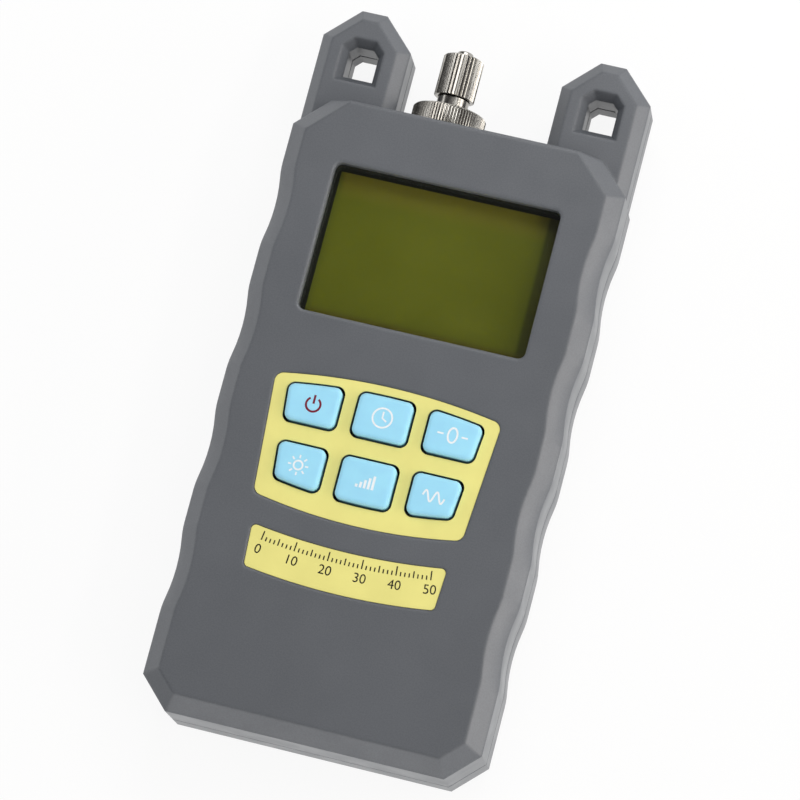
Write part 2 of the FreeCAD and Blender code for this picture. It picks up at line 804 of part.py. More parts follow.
def crystal():
    x, y = crystal_x, screen_y
    can = box(x - 5.2, x + 5.2, y - 1.8, y + 1.8, board_bottom - 3.4, board_bottom)
    return round_vertical(can, 1.75)


def buzzer():
    x, y = buzzer_x, screen_y + 4.0
    drum = post(x, y, board_bottom - 4.5, board_bottom, buzzer_radius)
    return drum.cut(post(x, y, board_bottom - 5.0, board_bottom - 3.8, 1.0))


# ---- batteries ---------------------------------------------------------------------------

def cell_x(index):
    return (index - (cell_count - 1) / 2) * cell_pitch


def points_up(index):
    return index % 2 == 0


def cell(index):
    """One battery; its button end meets the plate that has no spring."""
    x = cell_x(index)
    tube = cell_length - cell_nub_height
    if points_up(index):
        start, step = well_y1 - contact_thickness, -1
    else:
        start, step = well_y0 + contact_thickness, 1
    nub_end = start + step * cell_nub_height
    y0 = min(start, nub_end)
    nub = Part.makeCylinder(cell_nub_radius, cell_nub_height, v(x, y0, cell_z), v(0, 1, 0))
    y0 = min(nub_end, nub_end + step * tube)
    can = Part.makeCylinder(cell_radius, tube, v(x, y0, cell_z), v(0, 1, 0))
    can = can.makeFillet(0.4, [e for e in can.Edges if e.Closed and e.BoundBox.YLength < 1e-4])
    return can.fuse(nub).removeSplitter()


def cell_spring(index):
    """Cone spring of six-sided wire, its wide end on the plate, its narrow end on the cell."""
    height = spring_length - 2 * spring_wire
    lean = math.degrees(math.atan2(spring_big_radius - spring_small_radius, height))
    helix = Part.makeHelix(height / spring_turns, height, spring_small_radius, lean)
    r = spring_wire / 2
    ring = [v(spring_small_radius + r * math.cos(math.radians(60 * k)), 0,
              r * math.sin(math.radians(60 * k))) for k in range(6)]
    section = Part.makePolygon(ring + [ring[0]])
    spring = Part.Wire(helix).makePipeShell([section], True, True)
    spring.translate(v(0, 0, spring_wire - r / 2))
    for radius, z in ((spring_small_radius, 0), (spring_big_radius, spring_length - spring_wire)):
        turn = Part.makeCylinder(radius + r, spring_wire, v(0, 0, z))
        spring = spring.fuse(turn.cut(Part.makeCylinder(radius - r, spring_wire, v(0, 0, z))))
    if points_up(index):
        spring.rotate(v(0, 0, 0), v(1, 0, 0), 90)
        spring.translate(v(cell_x(index), well_y0 + contact_thickness + spring_length, cell_z))
    else:
        spring.rotate(v(0, 0, 0), v(1, 0, 0), -90)
        spring.translate(v(cell_x(index), well_y1 - contact_thickness - spring_length, cell_z))
    return spring


def cell_springs():
    return Part.makeCompound([cell_spring(k) for k in range(cell_count)])


def contact_plate(x0, x1, upper):
    y0 = well_y1 - contact_thickness if upper else well_y0
    return box(x0, x1, y0, y0 + contact_thickness, contact_z0, contact_z0 + contact_height)


def contact_tails():
    """Plan of each tail that passes the roof of the well: centre x, width, y span."""
    plus_x = cell_x(0)
    minus_x = well_half - return_strip_thickness / 2
    return [(plus_x, contact_tail_width, well_y1 - contact_thickness, well_y1),
            (minus_x, return_strip_thickness, well_y1 - 4.0, well_y1 - 1.0)]


def contact_tail(index):
    x, w, y0, y1 = contact_tails()[index]
    return box(x - w / 2, x + w / 2, y0, y1, cell_z, board_bottom)


def bridge_lower():
    return contact_plate(cell_x(0) - contact_width / 2, cell_x(1) + contact_width / 2, False)


def bridge_upper():
    return contact_plate(cell_x(1) - contact_width / 2, cell_x(2) + contact_width / 2, True)


def tab_plus():
    plate = contact_plate(cell_x(0) - contact_width / 2, cell_x(0) + contact_width / 2, True)
    return plate.fuse(contact_tail(0)).removeSplitter()


def strip_minus():
    plate = contact_plate(cell_x(2) - contact_width / 2, well_half, False)
    strip = box(well_half - return_strip_thickness, well_half, well_y0, well_y1 - 1.0,
                cell_z - return_strip_width / 2, cell_z + return_strip_width / 2)
    return plate.fuse(strip).fuse(contact_tail(1)).removeSplitter()


# ---- optical port ------------------------------------------------------------------------

def detector_housing():
    flange_y = wall_in_y - flange_thickness
    rear_y = flange_y - rear_tube_length
    bore = diode_radius + diode_gap
    rim_bore = diode_rim_radius + diode_gap
    step = flange_y - rear_tube_length / 2
    stub_end = top_y + stub_length
    nose = sleeve_radius + 0.3
    body = turned([(rim_bore, rear_y), (rear_tube_radius, rear_y), (rear_tube_radius, flange_y),
                   (flange_radius, flange_y), (flange_radius, wall_in_y), (stub_radius, wall_in_y),
                   (stub_radius, stub_end), (nose, stub_end), (nose, step + diode_length + 0.3),
                   (bore, step + diode_length + 0.3), (bore, step), (rim_bore, step)])
    flat = flange_radius * 0.86
    for s in (-1, 1):
        x0, x1 = sorted((port_x + s * flat, port_x + s * (flange_radius + 1)))
        body = body.cut(box(x0, x1, flange_y - 0.01, wall_in_y, port_z - 10, port_z + 10))
    return body


def photodiode():
    step = wall_in_y - flange_thickness - rear_tube_length / 2
    can = turned([(0, step - diode_rim), (diode_rim_radius, step - diode_rim),
                  (diode_rim_radius, step), (diode_radius, step), (diode_radius, step + diode_length),
                  (diode_window_radius, step + diode_length),
                  (diode_window_radius, step + diode_length - 0.4), (0, step + diode_length - 0.4)])
    y_end = board_head_y - 3.0
    bend_y = board_head_y + 1.2
    z_end = board_bottom - lead_radius
    for s in (-0.5, 0.5):
        x = port_x + s * lead_pitch
        run = v(x, step - diode_rim + 0.2, port_z)
        a = v(x, bend_y, port_z)
        b = v(x, board_head_y - 0.6, z_end)
        c = v(x, y_end, z_end)
        path = Part.makePolygon([run, a, b, c])
        section = Part.Wire(Part.makeCircle(lead_radius, run, v(0, -1, 0)))
        can = can.fuse(path.makePipeShell([section], True, False, 1))
    return can


def fc_adapter():
    r = ring_radius
    b = ring_bevel
    hole = stub_radius + thread_gap
    stub_end = top_y + stub_length + 0.3
    seat = sleeve_radius + sleeve_gap
    floor = snout_top - snout_bore_depth
    g = collar_groove
    foot = top_y + collar_length
    body = turned([(hole, top_y), (r - g, top_y), (r - g, foot - g), (r - 2 * g, foot - g / 2),
                   (r - 2 * g, foot), (r - g, foot), (r, foot + g), (r, ring_top - b),
                   (r - b, ring_top), (snout_radius, ring_top), (snout_radius, snout_top - 0.3),
                   (snout_radius - 0.3, snout_top), (snout_bore_radius, snout_top),
                   (snout_bore_radius, floor), (seat, floor), (seat, stub_end), (hole, stub_end)])
    slot = box(port_x - key_slot_width / 2, port_x + key_slot_width / 2, snout_top - key_slot_depth,
               snout_top + 1, port_z, port_z + snout_radius + 1)
    return body.cut(slot)


def ferrule_sleeve():
    y1 = snout_top - sleeve_drop
    y0 = y1 - sleeve_length
    return turned([(sleeve_bore_radius, y0), (sleeve_radius, y0), (sleeve_radius, y1),
                   (sleeve_bore_radius, y1)])


def dust_cap():
    inner = snout_radius + thread_gap
    pin = stud_pin_radius + stud_pin_gap
    b = cap_bevel
    m = cap_mouth_bevel
    return turned([(inner, cap_y0), (cap_radius - m, cap_y0), (cap_radius, cap_y0 + m),
                   (cap_radius, cap_y1 - b), (cap_radius - b, cap_y1), (pin, cap_y1),
                   (pin, cap_floor), (inner, cap_floor)])


def cap_stud():
    dome = stud_height * 0.35
    return turned([(0, cap_floor), (stud_pin_radius, cap_floor), (stud_pin_radius, cap_y1),
                   (stud_radius, cap_y1), (stud_radius, cap_y1 + stud_height - dome),
                   (stud_radius - dome * 0.7, cap_y1 + stud_height - dome * 0.2),
                   (stud_radius - dome * 1.6, cap_y1 + stud_height), (0, cap_y1 + stud_height)])


def cap_seal():
    return port_cylinder(cap_floor - seal_thickness, cap_floor, seal_radius)


# ---- build -------------------------------------------------------------------------------

def build():
    parts = {
        "front_shell": front_shell(),
        "rear_shell": rear_shell(),
        "battery_door": battery_door(),
        "case_screws": case_screws(),
        "display_window": display_window(),
        "display_frame": display_frame(),
        "lcd_panel": lcd_panel(),
        "backlight_panel": backlight_panel(),
        "contact_strip": contact_strip(),
        "keypad_overlay": keypad_overlay(),
        "name_plate": name_plate(),
        "keypad_mat": keypad_mat(),
        "main_board": main_board(),
        "board_screws": board_screws(),
        "processor": processor(),
        "amplifier": amplifier(),
        "crystal": crystal(),
        "buzzer": buzzer(),
        "cell_a": cell(0),
        "cell_b": cell(1),
        "cell_c": cell(2),
        "cell_springs": cell_springs(),
        "bridge_lower": bridge_lower(),
        "bridge_upper": bridge_upper(),
        "tab_plus": tab_plus(),
        "strip_minus": strip_minus(),
        "detector_housing": detector_housing(),
        "photodiode": photodiode(),
        "fc_adapter": fc_adapter(),
        "ferrule_sleeve": ferrule_sleeve(),
        "dust_cap": dust_cap(),
        "cap_stud": cap_stud(),
        "cap_seal": cap_seal(),
    }
    for name, (column, row) in KEYS.items():
        parts["key_" + name] = key_cap(column, row)
        parts["pill_" + name] = key_pill(column, row)
    os.makedirs("parts", exist_ok=True)
    for name, shape in parts.items():
        shape.exportStep(os.path.join("parts", name + ".step"))
        print(name, len(shape.Solids), "solids", round(shape.Volume, 2), shape.isValid())


build()
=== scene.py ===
import bpy
import bmesh
import math
from mathutils import Matrix, Vector


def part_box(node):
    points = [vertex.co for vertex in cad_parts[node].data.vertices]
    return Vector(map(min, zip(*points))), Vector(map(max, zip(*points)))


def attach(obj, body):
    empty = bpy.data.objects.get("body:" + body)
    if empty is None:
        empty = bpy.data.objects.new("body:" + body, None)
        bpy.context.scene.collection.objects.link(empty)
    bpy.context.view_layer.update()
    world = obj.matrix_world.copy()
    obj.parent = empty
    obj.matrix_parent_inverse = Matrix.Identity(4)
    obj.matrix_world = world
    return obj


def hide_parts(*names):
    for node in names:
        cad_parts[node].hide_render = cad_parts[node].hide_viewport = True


# Optical power meter: finishes, knurls, threads, prints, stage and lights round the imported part.
# Metres, in the part's own frame: +X right of the face, +Y towards the port, +Z out of the face.

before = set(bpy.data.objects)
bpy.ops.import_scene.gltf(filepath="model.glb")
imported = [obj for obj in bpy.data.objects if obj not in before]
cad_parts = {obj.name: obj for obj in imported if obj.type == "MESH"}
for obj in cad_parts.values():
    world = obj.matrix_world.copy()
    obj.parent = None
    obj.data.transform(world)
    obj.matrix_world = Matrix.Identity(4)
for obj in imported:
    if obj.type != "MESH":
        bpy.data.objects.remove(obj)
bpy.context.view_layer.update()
MM = 0.001


# ---- colours and nodes -------------------------------------------------------------------

def srgb(code):
    """'#rrggbb' as the linear colour that a shader takes."""
    values = [int(code[i:i + 2], 16) / 255 for i in (1, 3, 5)]
    linear = [v / 12.92 if v <= 0.04045 else ((v + 0.055) / 1.055) ** 2.4 for v in values]
    return (*linear, 1.0)


def shade(colour, share):
    """A lighter or darker tone of a linear colour."""
    return tuple(min(1.0, c * share) for c in colour[:3]) + (1.0,)


def add(tree, kind, inputs=None, **settings):
    """A new node. An input is a value, or another node's output socket."""
    node = tree.nodes.new(kind)
    for name, value in settings.items():
        setattr(node, name, value)
    for key, value in (inputs or {}).items():
        if isinstance(value, bpy.types.NodeSocket):
            tree.links.new(value, node.inputs[key])
        else:
            node.inputs[key].default_value = value
    return node


def new_material(name):
    """An empty material, its node tree, and the place on the object as a texture sees it."""
    material = bpy.data.materials.new(name)
    material.use_nodes = True
    tree = material.node_tree
    tree.nodes.clear()
    place = add(tree, "ShaderNodeTexCoord").outputs["Object"]
    return material, tree, place


def noise(tree, place, size_mm, detail=2.0, rough=0.5):
    """Noise whose blobs are about size_mm across."""
    node = add(tree, "ShaderNodeTexNoise", {"Vector": place, "Scale": 1000.0 / size_mm,
                                            "Detail": detail, "Roughness": rough})
    return node.outputs["Fac"]


def between(tree, value, low, high, out_low, out_high):
    """value from low..high to out_low..out_high."""
    node = add(tree, "ShaderNodeMapRange", {"Value": value, "From Min": low, "From Max": high,
                                            "To Min": out_low, "To Max": out_high})
    return node.outputs["Result"]


def blend(tree, factor, a, b, how="MIX"):
    """Colour a at factor 0, colour b laid over it at factor 1."""
    node = add(tree, "ShaderNodeMix", {"Factor": factor}, data_type="RGBA", blend_type=how)
    for key, value in ((6, a), (7, b)):
        if isinstance(value, bpy.types.NodeSocket):
            tree.links.new(value, node.inputs[key])
        else:
            node.inputs[key].default_value = value
    return node.outputs[2]


def bump(tree, height, depth_mm, strength=1.0, normal=None):
    """The normal of a relief depth_mm deep, on top of another normal where one is given."""
    inputs = {"Height": height, "Distance": depth_mm * MM, "Strength": strength}
    if normal is not None:
        inputs["Normal"] = normal
    return add(tree, "ShaderNodeBump", inputs).outputs["Normal"]


def rounded_edges(tree, radius_mm):
    """A normal that turns gradually across every sharp edge."""
    return add(tree, "ShaderNodeBevel", {"Radius": radius_mm * MM}, samples=4).outputs["Normal"]


def surface(material, tree, inputs):
    """Ends a material in one principled shader."""
    shader = add(tree, "ShaderNodeBsdfPrincipled", inputs)
    add(tree, "ShaderNodeOutputMaterial", {"Surface": shader.outputs["BSDF"]})
    return material


# ---- materials ---------------------------------------------------------------------------

def moulded_plastic(name, colour, grain_mm, grain_depth_mm, low_rough, high_rough, cloud=0.05,
                    edge_mm=0.3):
    """Moulded thermoplastic: fine spark-eroded grain, faint flow clouds, edges that catch light."""
    material, tree, place = new_material(name)
    clouds = noise(tree, place, 28.0, 3.0)
    tone = blend(tree, between(tree, clouds, 0.3, 0.7, 0.0, 1.0),
                 shade(colour, 1 - cloud), shade(colour, 1 + cloud))
    speck = between(tree, noise(tree, place, 0.35, 1.0), 0.35, 0.65, 0.0, 1.0)
    tone = blend(tree, 0.06, tone, blend(tree, speck, (0, 0, 0, 1), (1, 1, 1, 1)), "OVERLAY")
    grain = noise(tree, place, grain_mm, 2.0, 0.6)
    rough = between(tree, noise(tree, place, 6.0, 3.0), 0.3, 0.7, low_rough, high_rough)
    normal = bump(tree, grain, grain_depth_mm, 0.6, rounded_edges(tree, edge_mm))
    return surface(material, tree, {"Base Color": tone, "Roughness": rough, "IOR": 1.5,
                                    "Normal": normal})


def printed_film(name, colour):
    """Matt printed polycarbonate film: very fine even grain, faint ink mottling."""
    material, tree, place = new_material(name)
    mottle = between(tree, noise(tree, place, 9.0, 4.0), 0.3, 0.7, 0.0, 1.0)
    tone = blend(tree, mottle, shade(colour, 0.965), shade(colour, 1.03))
    grain = noise(tree, place, 0.22, 2.0, 0.6)
    rough = between(tree, mottle, 0.0, 1.0, 0.42, 0.5)
    return surface(material, tree, {"Base Color": tone, "Roughness": rough,
                                    "Normal": bump(tree, grain, 0.008, 0.6)})


def soft_rubber(name, colour, rough, depth=0.006, glow=0.0, edge_mm=0.4):
    """Moulded silicone: light scatters a little under its skin, and its edges are soft."""
    material, tree, place = new_material(name)
    cloud = between(tree, noise(tree, place, 5.0, 3.0), 0.3, 0.7, 0.0, 1.0)
    tone = blend(tree, cloud, shade(colour, 0.96), shade(colour, 1.03))
    grain = noise(tree, place, 0.18, 2.0, 0.6)
    inputs = {"Base Color": tone, "Roughness": between(tree, cloud, 0, 1, rough, rough + 0.08),
              "IOR": 1.42, "Normal": bump(tree, grain, depth, 0.6, rounded_edges(tree, edge_mm))}
    if glow:
        inputs.update({"Subsurface Weight": glow, "Subsurface Radius": (0.9, 1.2, 1.5),
                       "Subsurface Scale": 0.0008})
    return surface(material, tree, inputs)


def plated(name, colour, rough, streak_mm=0.0, across=(1, 1, 1)):
    """Plated or drawn metal, with fine tool marks where streak_mm is set."""
    material, tree, place = new_material(name)
    haze = between(tree, noise(tree, place, 2.2, 4.0, 0.6), 0.3, 0.7, 0.0, 1.0)
    tone = blend(tree, haze, colour, shade(colour, 0.86))
    if streak_mm:
        stretched = add(tree, "ShaderNodeMapping", {"Vector": place, "Scale": across}).outputs["Vector"]
        marks = noise(tree, stretched, streak_mm, 2.0, 0.7)
        normal = bump(tree, marks, 0.006, 0.5)
    else:
        normal = bump(tree, noise(tree, place, 0.5, 3.0), 0.0015, 0.4)
    return surface(material, tree, {"Base Color": tone, "Metallic": 1.0, "Normal": normal,
                                    "Roughness": between(tree, haze, 0, 1, rough, rough + 0.1)})


def clear_pane():
    """Clear acrylic window. Light reaches the display through it without a caustic."""
    material, tree, place = new_material("clear_acrylic")
    tint = srgb("#f4f7f0")
    haze = between(tree, noise(tree, place, 7.0, 3.0), 0.3, 0.7, 0.015, 0.05)
    pane = add(tree, "ShaderNodeBsdfPrincipled", {"Base Color": tint, "IOR": 1.49,
                                                  "Transmission Weight": 1.0, "Roughness": haze})
    through = add(tree, "ShaderNodeBsdfTransparent", {"Color": tint})
    rays = add(tree, "ShaderNodeLightPath")
    mixed = add(tree, "ShaderNodeMixShader", {0: rays.outputs["Is Shadow Ray"],
                                              1: pane.outputs["BSDF"], 2: through.outputs["BSDF"]})
    add(tree, "ShaderNodeOutputMaterial", {"Surface": mixed.outputs["Shader"]})
    return material


def edge_fade(tree, place, axis, edge, width):
    """1 at the coordinate edge, falling to 0 over width, in metres. Its sign says which way."""
    value = add(tree, "ShaderNodeSeparateXYZ", {"Vector": place}).outputs[axis]
    return add(tree, "ShaderNodeMapRange", {"Value": value, "From Min": edge, "From Max": edge + width,
                                            "To Min": 1.0, "To Max": 0.0},
               interpolation_type="SMOOTHSTEP").outputs["Result"]


def display_glass():
    """Unlit liquid crystal glass: olive, with painted shadow of the recess walls along its right and bottom
    borders, a painted reflection of the left wall along its left border, a painted lighter, browner top
    against the top wall's shadow, and thin dark seal lines at the left and top.
    """
    material, tree, place = new_material("lcd_polariser")
    low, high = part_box("display_frame")
    olive, painted_top_light, right_wall_shadow, seal = srgb("#595b12"), srgb("#776c24"), srgb("#36360f"), srgb("#14150f")
    mottle = between(tree, noise(tree, place, 14.0, 3.0), 0.3, 0.7, 0.0, 1.0)
    tone = blend(tree, mottle, srgb("#54560f"), olive)
    # Painted light: the top of the display is lighter and browner, against the shadow and reflection of the
    # recess's top wall.
    upper = between(tree, add(tree, "ShaderNodeSeparateXYZ", {"Vector": place}).outputs["Y"],
                    high[1] - 10 * MM, high[1] - 4 * MM, 0.0, 0.8)
    tone = blend(tree, upper, tone, painted_top_light)
    # Each border: its axis, where it is full, how far it fades, its colour and its strength. The right and
    # bottom bands are painted shadow of the recess walls, the left band is a painted reflection of the left
    # wall, and the two thin lines are dark seal lines.
    borders = (("X", high[0] - 5.0 * MM, -1.2 * MM, right_wall_shadow, 0.8),
               ("Y", low[1] + 3.9 * MM, 1.6 * MM, srgb("#4a430f"), 0.8),
               ("X", low[0] + 3.6 * MM, 1.6 * MM, srgb("#4b4d12"), 0.7),
               ("X", low[0] + 3.35 * MM, 0.12 * MM, seal, 1.0),
               ("Y", high[1] - 3.25 * MM, -0.12 * MM, seal, 1.0))
    for axis, edge, width, colour, most in borders:
        fade = between(tree, edge_fade(tree, place, axis, edge, width), 0.0, 1.0, 0.0, most)
        tone = blend(tree, fade, tone, colour)
    grid = noise(tree, place, 0.3, 1.0)
    return surface(material, tree, {"Base Color": tone, "IOR": 1.33, "Specular IOR Level": 0.2,
                                    "Roughness": between(tree, mottle, 0, 1, 0.3, 0.38),
                                    "Normal": bump(tree, grid, 0.002, 0.4)})


def lacquered_board():
    """Green solder mask over copper tracks and tinned pads."""
    material, tree, place = new_material("green_solder_mask")
    tracks = add(tree, "ShaderNodeTexBrick", {"Vector": place, "Scale": 240.0, "Mortar Size": 0.035,
                                              "Mortar Smooth": 0.3, "Brick Width": 0.9,
                                              "Row Height": 0.35, "Bias": 0.0},
                 offset=0.37, squash=1.0)
    tone = blend(tree, tracks.outputs["Fac"], srgb("#0d4a2c"), srgb("#17683d"))
    pads = add(tree, "ShaderNodeTexVoronoi", {"Vector": place, "Scale": 260.0}).outputs["Distance"]
    spots = between(tree, pads, 0.13, 0.16, 1.0, 0.0)
    tone = blend(tree, spots, tone, srgb("#b9bcb4"))
    return surface(material, tree, {"Base Color": tone, "Roughness": between(tree, spots, 0, 1, 0.28, 0.35),
                                    "Normal": bump(tree, tracks.outputs["Fac"], 0.02, 0.5)})


def cell_wrap():
    """Printed cell jacket: a light band round its middle, dark bands at both ends, scuffed."""
    material, tree, place = new_material("cell_jacket_print")
    low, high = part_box("cell_a")
    band, seam = 15.0 * MM, 0.2 * MM
    along = add(tree, "ShaderNodeSeparateXYZ", {"Vector": place}).outputs["Y"]
    split = between(tree, along, low[1] + band, low[1] + band + seam, 0.0, 1.0)
    other = between(tree, along, high[1] - band - seam, high[1] - band, 1.0, 0.0)
    inner = add(tree, "ShaderNodeMath", {0: split, 1: other}, operation="MULTIPLY").outputs[0]
    tone = blend(tree, inner, srgb("#2c3136"), srgb("#8f9498"))
    scuffs = between(tree, noise(tree, place, 1.2, 4.0), 0.62, 0.7, 0.0, 0.5)
    tone = blend(tree, scuffs, tone, srgb("#b4b6b8"))
    return surface(material, tree, {"Base Color": tone, "Metallic": 0.85,
                                    "Roughness": between(tree, scuffs, 0, 1, 0.28, 0.45),
                                    "Normal": bump(tree, noise(tree, place, 0.7), 0.006, 0.5)})


def ink(name, colour):
    """Screen-printed ink, faintly uneven at its edges."""
    material, tree, place = new_material(name)
    worn = between(tree, noise(tree, place, 0.5, 3.0), 0.3, 0.7, 0.0, 1.0)
    tone = blend(tree, worn, colour, shade(colour, 0.93))
    return surface(material, tree, {"Base Color": tone, "Roughness": between(tree, worn, 0, 1, 0.4, 0.5),
                                    "Normal": bump(tree, worn, 0.004, 0.4)})


HOUSING = moulded_plastic("grey_abs", srgb("#616469"), 0.42, 0.02, 0.3, 0.38, 0.04, 1.1)
DARK = moulded_plastic("black_abs", srgb("#242624"), 0.4, 0.012, 0.16, 0.26)
CHIP = moulded_plastic("moulded_epoxy", srgb("#222325"), 0.25, 0.01, 0.45, 0.55)
GUIDE = moulded_plastic("light_guide", srgb("#e3e6d8"), 0.6, 0.006, 0.25, 0.35, 0.03)
PANE = clear_pane()
LCD = display_glass()
FILM = printed_film("yellow_film", srgb("#eee68a"))
KEY = soft_rubber("blue_silicone", srgb("#a3e2ff"), 0.34, 0.004, 0.12, 1.3)
MAT = soft_rubber("pale_silicone", srgb("#b9c2c8"), 0.5)
CARBON = soft_rubber("carbon_rubber", srgb("#1d1e20"), 0.55)
NICKEL = plated("nickel_plate", srgb("#aeaba5"), 0.18)
SCREW = plated("zinc_screw", srgb("#a9a9a8"), 0.3, 0.3, (1, 1, 8))
SPRING = plated("nickel_spring", srgb("#bdbcb8"), 0.24, 0.25, (6, 6, 1))
BRONZE = plated("split_bronze", srgb("#c2a36a"), 0.26, 0.3, (8, 1, 8))
CAN = plated("tinned_can", srgb("#b5b4ae"), 0.3, 0.4, (1, 8, 1))
BOARD = lacquered_board()
JACKET = cell_wrap()
CRIMSON = ink("crimson_ink", srgb("#7c0a2d"))
WHITE_INK = ink("white_ink", srgb("#f6fbff"))
BLACK_INK = ink("black_ink", srgb("#0e0c05"))

FINISH = {
    "front_shell": HOUSING, "rear_shell": HOUSING, "battery_door": HOUSING,
    "case_screws": SCREW, "board_screws": SCREW,
    "display_window": PANE, "display_frame": DARK, "lcd_panel": LCD, "backlight_panel": GUIDE,
    "contact_strip": CARBON, "cap_seal": CARBON, "keypad_overlay": FILM, "name_plate": FILM,
    "keypad_mat": MAT, "main_board": BOARD, "processor": CHIP, "amplifier": CHIP, "buzzer": CHIP,
    "crystal": CAN, "photodiode": CAN, "cell_a": JACKET, "cell_b": JACKET, "cell_c": JACKET,
    "cell_springs": SPRING, "bridge_lower": SPRING, "bridge_upper": SPRING, "tab_plus": SPRING,
    "strip_minus": SPRING, "detector_housing": NICKEL, "fc_adapter": NICKEL,
    "ferrule_sleeve": BRONZE, "dust_cap": NICKEL, "cap_stud": NICKEL,
}
KEYS = ("power", "timer", "zero", "light", "level", "wave")
for key in KEYS:
    FINISH["key_" + key] = KEY
    FINISH["pill_" + key] = CARBON

for name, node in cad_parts.items():
    node.data.materials.clear()
    node.data.materials.append(FINISH[name])


# ---- mesh helpers ------------------------------------------------------------------------

def finish_piece(name, bm, material, smooth_degrees=None):
    """A bmesh becomes a shown object with its place in its mesh."""
    bmesh.ops.recalc_face_normals(bm, faces=bm.faces)
    mesh = bpy.data.meshes.new(name)
    bm.to_mesh(mesh)
    bm.free()
    mesh.materials.append(material)
    if smooth_degrees is not None:
        mesh.shade_smooth()
        mesh.set_sharp_from_angle(angle=math.radians(smooth_degrees))
    piece = bpy.data.objects.new(name, mesh)
    bpy.context.scene.collection.objects.link(piece)
    return piece


def evaluated_mesh(shown):
    """The object's mesh with its modifiers carried out."""
    bpy.context.view_layer.update()
    return bpy.data.meshes.new_from_object(shown.evaluated_get(bpy.context.evaluated_depsgraph_get()))


def lathe(bm, profile, centre, segments=120):
    """A closed profile of (radius, y) in millimetres, turned round the port axis."""
    rings = []
    for radius, y in profile:
        ring = []
        for i in range(segments):
            angle = 2 * math.pi * i / segments
            ring.append(bm.verts.new((centre[0] + radius * MM * math.cos(angle), y * MM,
                                      centre[1] + radius * MM * math.sin(angle))))
        rings.append(ring)
    count = len(profile)
    for j in range(count):
        a, b = rings[j], rings[(j + 1) % count]
        for i in range(segments):
            k = (i + 1) % segments
            bm.faces.new((a[i], a[k], b[k], b[i]))


def ribbon(bm, points, width, z, closed=False):
    """A flat printed stroke of constant width through points, in metres."""
    count = len(points)
    sides = []
    for i, point in enumerate(points):
        before = points[i - 1] if (closed or i > 0) else point
        after = points[(i + 1) % count] if (closed or i < count - 1) else point
        along = (Vector(after) - Vector(before)).normalized()
        offset = Vector((-along.y, along.x)) * width / 2
        middle = Vector(point)
        sides.append((bm.verts.new((*(middle + offset), z)), bm.verts.new((*(middle - offset), z))))
    for i in range(count if closed else count - 1):
        a, b = sides[i], sides[(i + 1) % count]
        bm.faces.new((a[1], b[1], b[0], a[0]))


def bar(bm, x0, x1, y0, y1, z):
    """A flat printed rectangle."""
    bm.faces.new([bm.verts.new((x, y, z)) for x, y in ((x0, y0), (x1, y0), (x1, y1), (x0, y1))])


def circle_points(centre, radius, start=0.0, end=360.0, steps=48, squash=1.0):
    """Points of an arc in degrees, counted from +X. Squash narrows it across."""
    full = abs(end - start) >= 360
    places = []
    for i in range(steps if full else steps + 1):
        angle = math.radians(start + (end - start) * i / steps)
        places.append((centre[0] + radius * squash * math.cos(angle),
                       centre[1] + radius * math.sin(angle)))
    return places


# ---- knurls and threads ------------------------------------------------------------------

